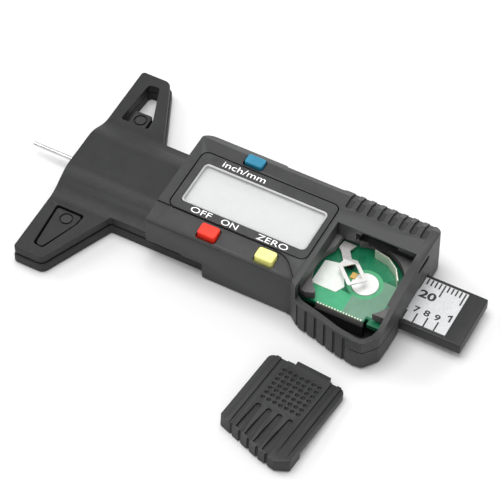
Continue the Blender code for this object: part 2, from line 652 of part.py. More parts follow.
# ---- sliding beam ----
def make_beam():
    beam = prism([rectangle(BEAM_FRONT, -BEAM_HALF, BEAM_TAIL, BEAM_HALF, BEAM_CORNER)], BEAM_BOTTOM, BEAM_TOP)
    soften(beam, 0.3, angle=50)
    half = LABEL_HALF + 0.1
    cut(beam, box((STATOR_START - 0.3, -half, BEAM_TOP - 0.2), (LABEL_END + 0.1, half, 8)))
    cut(beam, cylinder((0, PROBE_Z), SLEEVE_RADIUS + 0.1, -45, BEAM_FRONT + 4.2, axis="X", sides=24))
    part("slide_beam", beam, material("beam_plastic", BLACK, 0.45), SLIDE_LINE)
    low, high = BEAM_TOP - 0.15, BEAM_TOP + 0.05
    label = box((LABEL_START, -LABEL_HALF, low), (LABEL_END, LABEL_HALF, high))
    part("scale_label", label, material("label_silver", (0.75, 0.76, 0.78), 0.35, 0.6), SLIDE_LINE)
    strip = box((STATOR_START, -LABEL_HALF, low), (LABEL_START - 0.3, LABEL_HALF, high))
    part("stator_strip", strip, material("stator_green", (0.03, 0.2, 0.12), 0.4), SLIDE_LINE)
    sleeve = cylinder((0, PROBE_Z), SLEEVE_RADIUS, BEAM_FRONT - 0.3, BEAM_FRONT + 4.0, axis="X", sides=24)
    cut(sleeve, cylinder((0, PROBE_Z), PROBE_RADIUS + 0.1, -60, BEAM_FRONT + 3.6, axis="X", sides=20))
    part("probe_sleeve", sleeve, material("brass", (0.7, 0.5, 0.2), 0.3, 1.0), SLIDE_LINE)
    pin = cylinder((0, PROBE_Z), PROBE_RADIUS, PROBE_TIP, BEAM_FRONT + 3.4, axis="X", sides=24)
    part("probe_pin", pin, material("pin_steel", (0.75, 0.75, 0.76), 0.2, 1.0), SLIDE_LINE)


def make_leaf_spring():
    """A bowed strip beside the beam that takes up its side play."""
    steps = 10
    length = 18.0
    outer = []
    inner = []
    for i in range(steps + 1):
        t = i / steps
        x = -47.0 + length * t
        y = CHANNEL_HALF + 0.3 - 0.22 * math.sin(math.pi * t)
        outer.append((x, y + 0.15))
        inner.append((x, y))
    spring = prism([inner + list(reversed(outer))], BEAM_BOTTOM + 0.2, BEAM_TOP - 0.2)
    part("beam_leaf_spring", spring, material("spring_steel", (0.8, 0.8, 0.78), 0.25, 1.0))


# ---- buttons and screws ----
def make_buttons():
    colours = {"off_on_button": (0.80, 0.05, 0.03), "zero_button": (0.90, 0.82, 0.35),
               "inch_mm_button": (0.03, 0.27, 0.52)}
    for name, (x, y, size_x, size_y, top) in BUTTONS.items():
        a, b = size_x / 2, size_y / 2
        cap = prism([rectangle(x - a, y - b, x + a, y + b, 0.6)], BUTTON_FOOT + 0.1, top)
        soften(cap, 0.35, segments=3)
        join(cap, box((x - a - 0.6, y - b + 0.1, BUTTON_FOOT), (x + a + 0.6, y + b - 0.1, BUTTON_FOOT + 0.4)))
        part(name, cap, material(name + "_colour", colours[name], 0.4), origin=(x, y, BUTTON_FOOT))


def screw(name, x, y, head_bottom, length):
    head = cylinder((x, y), HEAD_RADIUS, head_bottom, head_bottom + 0.85, sides=24)
    join(head, cylinder((x, y), 0.7, head_bottom + 0.5, head_bottom + length, sides=16))
    cut(head, box((x - 1.0, y - 0.2, head_bottom - 1), (x + 1.0, y + 0.2, head_bottom + 0.4)))
    cut(head, box((x - 0.2, y - 1.0, head_bottom - 1), (x + 0.2, y + 1.0, head_bottom + 0.4)))
    part(name, head, material("screw_steel", (0.55, 0.55, 0.56), 0.35, 1.0))


def make_screws():
    for number, (x, y) in enumerate(BACK_BOSSES, start=1):
        screw(f"back_screw_{number}", x, y, 0.2, 8.0)
    for number, (x, y) in enumerate(NECK_SCREWS, start=1):
        screw(f"neck_screw_{number}", x, y, 0.2, 9.5)
    for number, (x, y) in enumerate(NOSE_SCREWS, start=1):
        screw(f"nose_screw_{number}", x, y, 0.2, 3.9)


# ---- battery cover ----
def cover_plan():
    """Seen from above in its own frame: far edge on y = 0, near edge along the bulge."""
    middle = sum(COMPARTMENT) / 2
    near = [(x - middle, cover_near(x - middle)) for x, _y in BULGE[2:-1]]
    left_y = cover_near(0.2 - COVER_HALF)
    right_y = BULGE[-1][1] - COMPARTMENT_FAR + GAP
    return rounded([(-COVER_HALF, left_y, 0.5)] + near + [
        (BULGE[-1][0] - middle, right_y, 0.6), (COVER_HALF, right_y + 1.6, 0.5),
        (COVER_HALF, 0, 1.5), (-COVER_HALF, 0, 1.5)])


def cover_near(x):
    """The cover's near edge, which follows the bulge, in the cover's own frame."""
    return bulge_y(x + sum(COMPARTMENT) / 2) - COMPARTMENT_FAR + GAP


def dimple_grid():
    """A square field of shallow round pits, as one cutter."""
    mesh = bpy.data.meshes.new("dimples")
    shape = bmesh.new()
    for row in range(DIMPLES):
        for column in range(DIMPLES):
            x = (column - (DIMPLES - 1) / 2) * DIMPLE_PITCH
            y = DIMPLE_TOP - row * DIMPLE_PITCH
            pit = bmesh.ops.create_cone(shape, cap_ends=True, segments=8, radius1=PIT_RADII[0] * MM,
                                        radius2=PIT_RADII[1] * MM, depth=PIT_RISE * MM)["verts"]
            bmesh.ops.translate(shape, vec=Vector((x, y, COVER_HEIGHT + 0.05)) * MM, verts=pit)
    shape.to_mesh(mesh)
    shape.free()
    return as_cutter(add_mesh("dimples", mesh, CUTTERS))


def finger_groove(number):
    """One groove that widens and deepens from the dimples, and ends in a thin rim at the near edge."""
    start = (number - 1.5) * 2.7
    end = (number - 1.5) * 2.6 - 0.1
    near = [(x, cover_near(x) + 0.45) for x in (end - 1.12, end + 1.12)]
    plan = rounded([(start - 0.6, -13.6, 0.5)] + near + [(start + 0.6, -13.6, 0.5)])
    floor = [(-30.0, COVER_HEIGHT - 1.4), (-22.0, COVER_HEIGHT - 0.75), (-13.0, COVER_HEIGHT - 0.35),
             (-13.0, 8.0), (-30.0, 8.0)]
    groove = prism([plan], 0, 8)
    bed = prism([floor], -20, 20, axis="X")
    bed.parent = groove
    return as_cutter(keep_inside(groove, bed))


def make_cover():
    holder = bpy.data.objects.new("battery_cover_place", None)
    CUTTERS.objects.link(holder)
    under = COVER_HEIGHT - COVER_PLATE
    lift = TABLE_CLEARANCE - TONGUE[2] * math.sin(COVER_TILT) - under * math.cos(COVER_TILT)
    holder.location = (COVER_PLACE[0] * MM, COVER_PLACE[1] * MM, lift * MM)
    holder.rotation_euler = (COVER_TILT, 0, COVER_YAW)

    cover = prism([cover_plan()], 0, COVER_HEIGHT)
    crown = [(-30.0, -1.0), (1.0, -1.0), (1.0, COVER_HEIGHT - 0.25), (0.0, COVER_HEIGHT),
             (-19.5, COVER_HEIGHT), (-23.0, COVER_HEIGHT - 0.35), (-26.0, COVER_HEIGHT - 1.1),
             (-30.0, COVER_HEIGHT - 2.4)]
    top = prism([crown], -20, 20, axis="X")
    keep_inside(cover, top)
    side = COVER_HALF - 1.2
    hollow = [(x, cover_near(x) + LIP_DEPTH) for x in (-11.5, -8.8, -3.7, 1.5, 6.5)]
    hollow += [(side, cover_near(side) + 2.6), (side, SIDE_LIP_END), (12.0, SIDE_LIP_END), (12.0, 5),
               (-11.5, 5)]
    tools = [prism([hollow], -1, under), dimple_grid()]
    tools += [finger_groove(i) for i in range(4)]
    for x, half in COVER_BANDS:
        tools.append(box((x - half, -30, COVER_HEIGHT - BAND_DEPTH), (x + half, 2, 6)))
    for place in rib_positions():
        x = place - sum(COMPARTMENT) / 2
        if abs(x) < COVER_HALF - 0.8:
            tools.append(rib_cutter(x, cover_near(x), COVER_HEIGHT + 1))
    cut(cover, *tools)
    tongue = box((TONGUE[0], -1.5, under + 0.3), (TONGUE[1], TONGUE[2], COVER_HEIGHT - TONGUE_DROP))
    join(cover, tongue)
    part("battery_cover", cover, material("cover_plastic", BLACK, 0.5))
    for item in [cover, tongue, top] + tools:
        item.parent = holder


make_base()
make_housing()
make_back_cover()
make_display()
make_board()
make_battery_contacts()
make_beam()
make_leaf_spring()
make_buttons()
make_screws()
make_cover()
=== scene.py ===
"""Looks of the tread depth gauge: camera, light, floor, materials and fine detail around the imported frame."""

import math

import bmesh
import bpy
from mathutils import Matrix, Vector


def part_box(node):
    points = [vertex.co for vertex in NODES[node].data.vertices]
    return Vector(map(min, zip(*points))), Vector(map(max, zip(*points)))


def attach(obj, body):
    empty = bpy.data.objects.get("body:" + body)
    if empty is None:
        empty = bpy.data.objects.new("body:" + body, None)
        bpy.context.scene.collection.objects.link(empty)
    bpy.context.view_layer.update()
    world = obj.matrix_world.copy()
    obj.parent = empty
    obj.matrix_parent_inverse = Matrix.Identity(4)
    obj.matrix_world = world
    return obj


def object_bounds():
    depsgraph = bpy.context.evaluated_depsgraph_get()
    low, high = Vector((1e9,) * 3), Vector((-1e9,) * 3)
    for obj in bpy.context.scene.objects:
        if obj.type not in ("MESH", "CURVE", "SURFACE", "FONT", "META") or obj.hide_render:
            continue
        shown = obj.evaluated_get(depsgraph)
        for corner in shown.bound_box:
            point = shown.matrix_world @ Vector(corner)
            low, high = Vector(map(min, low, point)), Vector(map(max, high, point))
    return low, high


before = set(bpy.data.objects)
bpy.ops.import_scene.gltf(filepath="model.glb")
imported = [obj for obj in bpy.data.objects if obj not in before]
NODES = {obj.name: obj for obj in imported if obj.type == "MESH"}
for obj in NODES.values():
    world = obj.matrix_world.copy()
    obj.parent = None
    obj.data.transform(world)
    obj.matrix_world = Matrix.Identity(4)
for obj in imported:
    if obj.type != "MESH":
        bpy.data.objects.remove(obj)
CAD_BOX = [list(corner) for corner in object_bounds()]

MM = 0.001

# ---- camera ----
CAMERA_PLACE = Vector((0.1731, -0.3458, 0.4982))
CAMERA_TARGET = Vector((-0.0083, -0.0056, 0.0050))
LENS = 201.7
SENSOR = 36.0

# ---- studio ----
WORLD_LIGHT = 0.62
FLOOR_TONE = (0.68, 0.68, 0.68)
FLOOR_REACH = 1.5
FLOOR_DROP = 0.00005           # below the lowest point, so that nothing sinks into it
# Name, place, size, power in watts.
SOFTBOXES = (
    ("softbox_top", (-0.10, 0.02, 0.75), (0.55, 0.45), 4.6),
    ("softbox_left", (-0.60, 0.05, 0.45), (0.35, 0.35), 1.6),
    ("softbox_far", (0.10, 0.70, 0.28), (0.60, 0.12), 2.4),
    ("softbox_near", (0.30, -0.60, 0.30), (0.50, 0.10), 0.8),
)

# ---- printing ----
INCH = 0.0254
INK_THICKNESS = 0.00002
TICK_WIDTH = 0.00036
TICK_INSET = 0.0001            # from the label's far edge
# width of the painted shadow lines along the label's right and near edges
LABEL_SHADOW_LINE = 0.00015
MM_TICK = 0.0018
MM_TICK_LONG = 0.0037
INCH_TICK = 0.0028
TEXT_STEPS = 6
CAPITALS = 0.72                # height of a capital in the built-in face, as a share of its size
# Where a figure's middle is from its tick in X, and from the label's middle in Y; then its height.
MM_FIGURE = (-0.0024, 0.0018, 0.0021)
INCH_FIGURE = (-0.00075, -0.0027, 0.0016)
WHOLE_INCH = (-0.0006, -0.0016)
# Outline of the figure at the whole inch, in millimetres from its middle.
FIGURE_ONE = ((-0.18, -1.0), (0.24, -1.0), (0.24, 1.0), (-0.14, 1.0),
              (-0.80, 0.58), (-0.80, 0.16), (-0.18, 0.5))
# Piece, words, place in X and Y, and height in millimetres, then how far they are widened.
BEZEL_WORDS = (
    ("word_inch_mm", "inch/mm", -16.6, 7.35, 1.7, 1.35),
    ("word_off", "OFF", -19.7, -7.35, 1.6, 1.36),
    ("word_on", "ON", -12.5, -7.4, 1.6, 1.22),
    ("word_zero", "ZERO", -1.75, -7.4, 1.6, 1.36),
)

# ---- edges ----
WELD_REACH = 0.000002
FLAT_ANGLE = math.radians(1)   # faces closer than this to one plane become one
BEVEL_ANGLE = math.radians(35)
BEVEL_SEGMENTS = 2
SHARP_ANGLE = math.radians(24)
NORMAL_WEIGHT = 60
# Rounding of each moulded piece, in millimetres.
SHELLS = {"base_upper_shell": 0.10, "base_lower_shell": 0.12, "front_housing": 0.10, "back_cover": 0.15,
          "battery_holder": 0.12, "slide_beam": 0.10, "battery_cover": 0.14, "display_bezel": 0.10,
          "off_on_button": 0.08, "zero_button": 0.08, "inch_mm_button": 0.08}

# ---- display and board ----
WINDOW_EDGE = 0.35             # these four in millimetres
WINDOW_OVERLAP = 0.06
WINDOW_CORNER = 1.1
WINDOW_DROP = 0.25
COATING = 0.00002
PAD_GAP = 0.00015
PAD_RING = 0.0041
RING_STEPS = 16
EDGE_START = 0.0118
EDGE_END = 0.0234
EDGE_NEAR = -0.0126            # the near edge of the board beside its tab
EDGE_DEPTH = 0.0015
EDGE_TOP_GAP = 0.00005
EDGE_SKIN = 0.00004
EDGE_PITCH = 0.0007
EDGE_PAD_SHARE = 0.55          # of the pitch
EDGE_PAD_SHIFT = 0.3           # of the pitch, before the first pad
EDGE_PAD_NEAR = 0.00005        # from the board's near edge
EDGE_PAD_FAR = 0.0004
# Piece, colour, then its corners (x0, y0, x1, y1) in millimetres.
BOARD_FIELDS = (
    # Painted light: the near-left field is brighter where light reaches the board past the walls.
    ("painted_light_field", (0.045, 0.36, 0.17), (9.0, -12.3, 18.0, -7.0)),
    ("grey_field", (0.13, 0.26, 0.18), (18.0, -12.3, 23.3, -0.6)),
    ("side_field", (0.13, 0.26, 0.18), (23.3, -10.8, 26.0, -0.6)),
)
# Piece, colour, metallic, corners and height in millimetres, slot.
SMALL_PARTS = (
    ("dark_chip", (0.012, 0.012, 0.013), 0.0, (12.9, -1.0, 14.9, 1.2), 0.7, "epoxy_black"),
    ("gilt_chip", (0.62, 0.40, 0.12), 0.4, (15.4, -3.2, 16.6, -1.6), 0.5, "tin"),
)

# ---- colours, linear ----
BLACK = (0.0125, 0.0127, 0.0131)
HOUSING_GREY = (0.0245, 0.0248, 0.0252)
BEZEL_GREY = (0.034, 0.0345, 0.035)
INK = (0.006, 0.006, 0.007)
PRINT_WHITE = (0.90, 0.90, 0.89)
CREVICE_SHADE_REACH = 0.0010           # how far the painted shade reaches out of an inner corner
CREVICE_SHADE_TONE = 0.25


def make_camera():
    data = bpy.data.cameras.new("camera")
    data.lens = LENS
    data.sensor_width = SENSOR
    data.clip_start = 0.01
    data.clip_end = 10.0
    camera = bpy.data.objects.new("camera", data)
    bpy.context.scene.collection.objects.link(camera)
    camera.location = CAMERA_PLACE
    camera.rotation_euler = (CAMERA_TARGET - CAMERA_PLACE).to_track_quat("-Z", "Y").to_euler()
    bpy.context.scene.camera = camera


def area_light(name, place, size, power):
    data = bpy.data.lights.new(name, "AREA")
    data.shape = "RECTANGLE"
    data.size, data.size_y = size
    data.energy = power
    light = bpy.data.objects.new(name, data)
    light.location = place
    light.rotation_euler = (CAMERA_TARGET - Vector(place)).to_track_quat("-Z", "Y").to_euler()
    bpy.context.scene.collection.objects.link(light)


def make_studio():
    scene = bpy.context.scene
    scene.view_settings.view_transform = "Standard"
    world = bpy.data.worlds.new("studio")
    scene.world = world
    world.use_nodes = True
    sky = world.node_tree.nodes["Background"]
    sky.inputs["Color"].default_value = (1.0, 1.0, 1.0, 1.0)
    sky.inputs["Strength"].default_value = WORLD_LIGHT
    for name, place, size, power in SOFTBOXES:
        area_light(name, place, size, power)

    mesh = bpy.data.meshes.new("floor")
    shape = bmesh.new()
    bmesh.ops.create_grid(shape, x_segments=1, y_segments=1, size=FLOOR_REACH)
    shape.to_mesh(mesh)
    shape.free()
    floor = bpy.data.objects.new("floor", mesh)
    scene.collection.objects.link(floor)
    floor.location.z = CAD_BOX[0][2] - FLOOR_DROP
    pale = bpy.data.materials.new("floor_paper")
    pale.use_nodes = True
    paper = pale.node_tree.nodes["Principled BSDF"]
    paper.inputs["Base Color"].default_value = (*FLOOR_TONE, 1.0)
    paper.inputs["Roughness"].default_value = 0.7
    mesh.materials.append(pale)


# ---- material helpers ----
class Finish:
    """A Principled material with procedural detail in object space."""

    def __init__(self, name, colour, roughness=0.5, metallic=0.0, **sockets):
        self.material = bpy.data.materials.new(name)
        self.material.use_nodes = True
        self.tree = self.material.node_tree
        self.shader = self.tree.nodes["Principled BSDF"]
        self.shader.inputs["Base Color"].default_value = (*colour, 1.0)
        self.shader.inputs["Roughness"].default_value = roughness
        self.shader.inputs["Metallic"].default_value = metallic
        for socket, value in sockets.items():
            self.shader.inputs[socket.replace("_", " ")].default_value = value
        self.place = self.node("ShaderNodeTexCoord").outputs["Object"]

    def node(self, kind, **inputs):
        made = self.tree.nodes.new(kind)
        for socket, value in inputs.items():
            made.inputs[socket.replace("_", " ")].default_value = value
        return made

    def link(self, source, target):
        self.tree.links.new(source, target)

    def noise(self, scale, detail=3.0, roughness=0.55, stretch=None):
        made = self.node("ShaderNodeTexNoise", Scale=scale, Detail=detail, Roughness=roughness)
        if stretch:
            mapping = self.node("ShaderNodeMapping", Scale=stretch)
            self.link(self.place, mapping.inputs["Vector"])
            self.link(mapping.outputs["Vector"], made.inputs["Vector"])
        else:
            self.link(self.place, made.inputs["Vector"])
        return made.outputs["Fac"]

    def spread(self, source, low, high, out_low=0.0, out_high=1.0):
        """Map a range of a value onto another, clamped."""
        made = self.node("ShaderNodeMapRange")
        ends = {"From Min": low, "From Max": high, "To Min": out_low, "To Max": out_high}
        for socket, value in ends.items():
            made.inputs[socket].default_value = value
        self.link(source, made.inputs["Value"])
        return made.outputs[0]

    def mix(self, factor, colour_a, colour_b):
        """Mix two colours, each a tuple or a socket."""
        made = self.tree.nodes.new("ShaderNodeMix")
        made.data_type = "RGBA"
        self.link(factor, made.inputs["Factor"])
        # Sockets 6, 7 and 2 are the node's colour inputs and output; the names are shared with other types.
        for socket, value in ((made.inputs[6], colour_a), (made.inputs[7], colour_b)):
            if isinstance(value, tuple):
                socket.default_value = (*value, 1.0)
            else:
                self.link(value, socket)
        return made.outputs[2]

    def bump(self, height, distance):
        made = self.node("ShaderNodeBump", Strength=1.0, Distance=distance)
        self.link(height, made.inputs["Height"])
        self.link(made.outputs["Normal"], self.shader.inputs["Normal"])

    def base(self, source):
        self.link(source, self.shader.inputs["Base Color"])

    def vary_roughness(self, source, low, high):
        self.link(self.spread(source, 0.3, 0.7, low, high), self.shader.inputs["Roughness"])


def shade(colour, factor):
    return tuple(min(channel * factor, 1.0) for channel in colour)


def moulded_plastic(name, colour, roughness=0.5, grain=3600.0, depth=0.00004, edge_wear_and_sheen=1.9):
    """Spark-eroded plastic: fine grain, faint cloudiness, paler edges (part wear, part painted highlight) and
    painted shade in inner corners.
    """
    finish = Finish(name, colour, roughness, Specular_IOR_Level=0.3)
    cloud = finish.noise(scale=260.0, detail=8.0, roughness=0.75)
    grains = finish.noise(scale=grain, detail=2.0)
    tone = finish.mix(finish.spread(cloud, 0.35, 0.65), shade(colour, 0.80), shade(colour, 1.22))
    # Paler edges: partly wear, partly a painted highlight where the edges catch light.
    edges = finish.node("ShaderNodeNewGeometry").outputs["Pointiness"]
    wear_and_sheen = finish.mix(finish.spread(edges, 0.53, 0.60), tone, shade(colour, edge_wear_and_sheen))
    # Painted shade: ambient occlusion darkens inner corners and creases.
    corners = finish.node("ShaderNodeAmbientOcclusion", Distance=CREVICE_SHADE_REACH)
    corners.only_local = True
    corners.samples = 8
    unshaded = finish.spread(corners.outputs["AO"], 0.45, 0.92)
    finish.base(finish.mix(unshaded, shade(colour, CREVICE_SHADE_TONE), wear_and_sheen))
    finish.vary_roughness(grains, roughness - 0.07, roughness + 0.09)
    finish.bump(grains, depth)
    return finish.material


def satin_metal(name, colour, roughness=0.3, brushed=(1.0, 1.0, 1.0), metallic=1.0, depth=0.000003):
    """Metal with fine streaks, drawn out along an axis where brushed is under 1, and faint spots."""
    finish = Finish(name, colour, roughness, metallic)
    streaks = finish.noise(scale=2500.0, stretch=brushed)
    spots = finish.noise(scale=400.0, detail=4.0)
    finish.base(finish.mix(finish.spread(spots, 0.4, 0.7), shade(colour, 0.93), shade(colour, 1.05)))
    finish.vary_roughness(streaks, roughness - 0.08, roughness + 0.1)
    finish.bump(streaks, depth)
    return finish.material


def label_film(name):
    """Silvered film: pale, with a fine speckle of brighter and darker flakes."""
    finish = Finish(name, (0.53, 0.535, 0.545), 0.45, 0.15)
    flakes = finish.noise(scale=5200.0, detail=2.0, roughness=0.7)
    finish.base(finish.mix(finish.spread(flakes, 0.38, 0.62), (0.46, 0.465, 0.475), (0.59, 0.595, 0.60)))
    finish.vary_roughness(flakes, 0.38, 0.55)
    finish.bump(flakes, 0.000008)
    return finish.material


def circuit_board(name):
    """Green solder mask in dark blocks, with slightly paler lines between them."""
    finish = Finish(name, (0.012, 0.20, 0.09), 0.3)
    blocks = finish.node("ShaderNodeTexVoronoi", Scale=160.0)
    finish.link(finish.place, blocks.inputs["Vector"])
    weave = finish.noise(scale=5200.0, detail=2.0)
    lines = finish.spread(blocks.outputs["Distance"], 0.35, 0.40)
    finish.base(finish.mix(lines, (0.005, 0.125, 0.056), (0.009, 0.165, 0.076)))
    finish.vary_roughness(weave, 0.22, 0.36)
    finish.bump(weave, 0.000008)
    return finish.material


def plain_material(name, colour, roughness, metallic=0.0, spots=1.0):
    """A smooth material with faint patches."""
    finish = Finish(name, colour, roughness, metallic)
    patches = finish.noise(scale=700.0, detail=4.0)
    dark = shade(colour, 1.0 - 0.06 * spots)
    pale = shade(colour, 1.0 + 0.04 * spots)
    finish.base(finish.mix(finish.spread(patches, 0.35, 0.65), dark, pale))
    finish.vary_roughness(patches, roughness - 0.05, roughness + 0.07)
    finish.bump(patches, 0.00001)
    return finish.material


def clear_pane(name):
    return Finish(name, (0.96, 0.98, 0.98), roughness=0.04, Alpha=0.10).material


MATERIALS = {
    "base_upper_shell": moulded_plastic("base_grain", BLACK, 0.48),
    "base_lower_shell": moulded_plastic("base_under_grain", shade(BLACK, 0.9), 0.5),
    "front_housing": moulded_plastic("housing_grain", HOUSING_GREY, 0.46),
    "back_cover": moulded_plastic("back_grain", BLACK, 0.52),
    "display_bezel": moulded_plastic("bezel_grain", BEZEL_GREY, 0.42, grain=6000.0, depth=0.00001),
    "display_window": clear_pane("clear_acrylic"),
    "lcd_panel": plain_material("lcd_glass", (0.45, 0.455, 0.455), 0.35, spots=0.3),
    "lcd_frame": plain_material("frame_plastic", (0.6, 0.6, 0.58), 0.5),
    "zebra_connector_near": plain_material("elastomer_near", (0.5, 0.5, 0.55), 0.6),
    "zebra_connector_far": plain_material("elastomer_far", (0.5, 0.5, 0.55), 0.6),
    "main_circuit_board": circuit_board("solder_mask"),
    "controller_blob": plain_material("epoxy", (0.01, 0.01, 0.012), 0.25),
    "negative_pad": plain_material("tinned_pad", (0.82, 0.82, 0.80), 0.4),
    "insulating_pad": plain_material("white_pad", (0.80, 0.84, 0.79), 0.55),
    "battery_holder": moulded_plastic("holder_grain", (0.085, 0.082, 0.082), 0.5),
    "battery_spring_contact": satin_metal("plated_leaf", (0.86, 0.84, 0.82), 0.34,
                                          metallic=0.5, depth=0.000001),
    "battery_side_contact": satin_metal("plated_strip", (0.80, 0.78, 0.68), 0.34,
                                        metallic=0.6, depth=0.000001),
    "beam_leaf_spring": satin_metal("leaf_steel", (0.75, 0.75, 0.74), 0.3, brushed=(0.1, 1.0, 1.0)),
    "slide_beam": moulded_plastic("beam_grain", BLACK, 0.42),
    "scale_label": label_film("label_film"),
    "stator_strip": circuit_board("stator_mask"),
    "probe_sleeve": satin_metal("turned_brass", (0.72, 0.52, 0.24), 0.3),
    "probe_pin": satin_metal("ground_steel", (0.62, 0.62, 0.63), 0.22, brushed=(0.05, 1.0, 1.0)),
    "off_on_button": moulded_plastic("button_red", (0.77, 0.034, 0.017), 0.42, edge_wear_and_sheen=1.15),
    "zero_button": moulded_plastic("button_yellow", (0.90, 0.82, 0.255), 0.42, edge_wear_and_sheen=1.05),
    "inch_mm_button": moulded_plastic("button_blue", (0.020, 0.170, 0.275), 0.42, edge_wear_and_sheen=1.3),
    "battery_cover": moulded_plastic("cover_grain", shade(BLACK, 1.1), 0.47),
}
for name in ("off_on_switch", "zero_switch", "inch_mm_switch"):
    MATERIALS[name] = plain_material(name + "_case", (0.25, 0.25, 0.26), 0.4)
for name in NODES:
    if "_screw_" in name:
        MATERIALS[name] = satin_metal(name + "_steel", (0.55, 0.55, 0.56), 0.32)


def refine(node, width):
    """Weld a frame solid's triangles, round its edges and smooth its shading."""
    solid = NODES[node]
    weld = solid.modifiers.new("weld", "WELD")
    weld.merge_threshold = WELD_REACH
    flat = solid.modifiers.new("flat", "DECIMATE")
    flat.decimate_type = "DISSOLVE"
    flat.angle_limit = FLAT_ANGLE
    edge = solid.modifiers.new("edge", "BEVEL")
    edge.width = width * MM
    edge.segments = BEVEL_SEGMENTS
    edge.limit_method = "ANGLE"
    edge.angle_limit = BEVEL_ANGLE
    edge.harden_normals = False
    smooth(solid)


def smooth(solid):
    """Shade smooth except across sharp edges, and keep large flat faces flat."""
    group = bpy.data.node_groups.get("smooth_by_angle") or smooth_group()
    step = solid.modifiers.new("smooth", "NODES")
    step.node_group = group
    weigh = solid.modifiers.new("weigh", "WEIGHTED_NORMAL")
    weigh.keep_sharp = True
    weigh.weight = NORMAL_WEIGHT


def smooth_group():
    """Geometry nodes that mark faces smooth and edges over SHARP_ANGLE sharp."""
    group = bpy.data.node_groups.new("smooth_by_angle", "GeometryNodeTree")
    group.interface.new_socket("Geometry", in_out="INPUT", socket_type="NodeSocketGeometry")
    group.interface.new_socket("Geometry", in_out="OUTPUT", socket_type="NodeSocketGeometry")
    start = group.nodes.new("NodeGroupInput")
    end = group.nodes.new("NodeGroupOutput")
    faces = group.nodes.new("GeometryNodeSetShadeSmooth")
    faces.domain = "FACE"
    edges = group.nodes.new("GeometryNodeSetShadeSmooth")
    edges.domain = "EDGE"
    turn = group.nodes.new("GeometryNodeInputMeshEdgeAngle")
    under = group.nodes.new("FunctionNodeCompare")
    under.operation = "LESS_THAN"
    under.inputs["B"].default_value = SHARP_ANGLE
    group.links.new(turn.outputs["Unsigned Angle"], under.inputs["A"])
    group.links.new(start.outputs[0], faces.inputs["Geometry"])
    group.links.new(faces.outputs["Geometry"], edges.inputs["Geometry"])
    group.links.new(under.outputs["Result"], edges.inputs["Shade Smooth"])
    group.links.new(edges.outputs["Geometry"], end.inputs[0])
    return group


def dress_nodes():
    for name, material in MATERIALS.items():
        solid = NODES[name]
        solid.data.materials.clear()
        solid.data.materials.append(material)


# ---- printed marks ----
def place_mesh(name, mesh, material, body):
    """An object for a finished mesh, riding on a body."""
    mesh.materials.append(material)
    piece = bpy.data.objects.new(name, mesh)
    bpy.context.scene.collection.objects.link(piece)
    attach(piece, body)


def mesh_piece(name, shape, material, body):
    """The piece for a mesh that was under construction."""
    mesh = bpy.data.meshes.new(name)
    shape.to_mesh(mesh)
    shape.free()
    place_mesh(name, mesh, material, body)


def add_block(shape, low, high):
    """A box between two corners, added to a mesh under construction."""
    made = bmesh.ops.create_cube(shape, size=1.0)["verts"]
    size = [b - a for a, b in zip(low, high)]
    middle = [(a + b) / 2 for a, b in zip(low, high)]
    bmesh.ops.scale(shape, vec=size, verts=made)
    bmesh.ops.translate(shape, vec=middle, verts=made)


def printed_text(name, words, place, height, material, body, wide=1.0, bold=0.0):
    """Flat lettering a hair thick, centred on a place, turned into a mesh."""
    data = bpy.data.curves.new(name, "FONT")
    data.body = words
    data.size = height / CAPITALS
    data.align_x = "CENTER"
    data.align_y = "CENTER"
    data.offset = bold
    data.extrude = INK_THICKNESS / 2
    data.resolution_u = TEXT_STEPS
    guide = bpy.data.objects.new(name, data)
    bpy.context.scene.collection.objects.link(guide)
    guide.location = place
    guide.scale.x = wide
    bpy.context.view_layer.update()
    solid = guide.evaluated_get(bpy.context.evaluated_depsgraph_get())
    mesh = bpy.data.meshes.new_from_object(solid)
    mesh.transform(guide.matrix_world)
    bpy.data.objects.remove(guide, do_unlink=True)
    mesh.materials.clear()
    place_mesh(name, mesh, material, body)


def make_label():
    """Millimetre ticks on the far edge, tenth-inch ticks on the near edge, and their numbers, with painted
    shadow lines along the right and near edges.
    """
    low, high = (Vector(corner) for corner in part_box("scale_label"))
    ink = plain_material("label_ink", INK, 0.5)
    top = high.z
    inked = top + INK_THICKNESS
    zero = low.x
    shape = bmesh.new()
    half = TICK_WIDTH / 2
    count = int((high.x - zero) / MM)
    for tick in range(1, count + 1):
        x = zero + tick * MM
        length = MM_TICK_LONG if tick % 5 == 0 else MM_TICK
        add_block(shape, (x - half, high.y - length, top), (x + half, high.y - TICK_INSET, inked))
    for tick in range(1, 10):
        x = zero + tick * INCH / 10
        add_block(shape, (x - half, low.y + LABEL_SHADOW_LINE, top), (x + half, low.y + INCH_TICK, inked))
    # Two ink strips along the label's right and near edges: painted shadow of the gap round the label.
    add_block(shape, (high.x - LABEL_SHADOW_LINE, low.y, top), (high.x, high.y, inked))
    add_block(shape, (zero, low.y, top), (high.x - LABEL_SHADOW_LINE, low.y + LABEL_SHADOW_LINE, inked))
    mesh_piece("label_ticks_and_shadow", shape, ink, "beam")
    shift, y, height = MM_FIGURE
    for tick in range(10, count, 10):
        place = (zero + tick * MM + shift, y, top)
        printed_text(f"label_mm_{tick}", str(tick), place, height, ink, "beam",
                     wide=1.35, bold=0.00010)
    shift, y, height = INCH_FIGURE
    for tick in range(1, 10):
        place = (zero + tick * INCH / 10 + shift, y, top)
        printed_text(f"label_inch_{tick}", str(tick), place, height, ink, "beam",
                     wide=1.25, bold=0.00006)
    shift, y = WHOLE_INCH
    make_whole_inch(ink, Vector((zero + INCH + shift, y, top)))


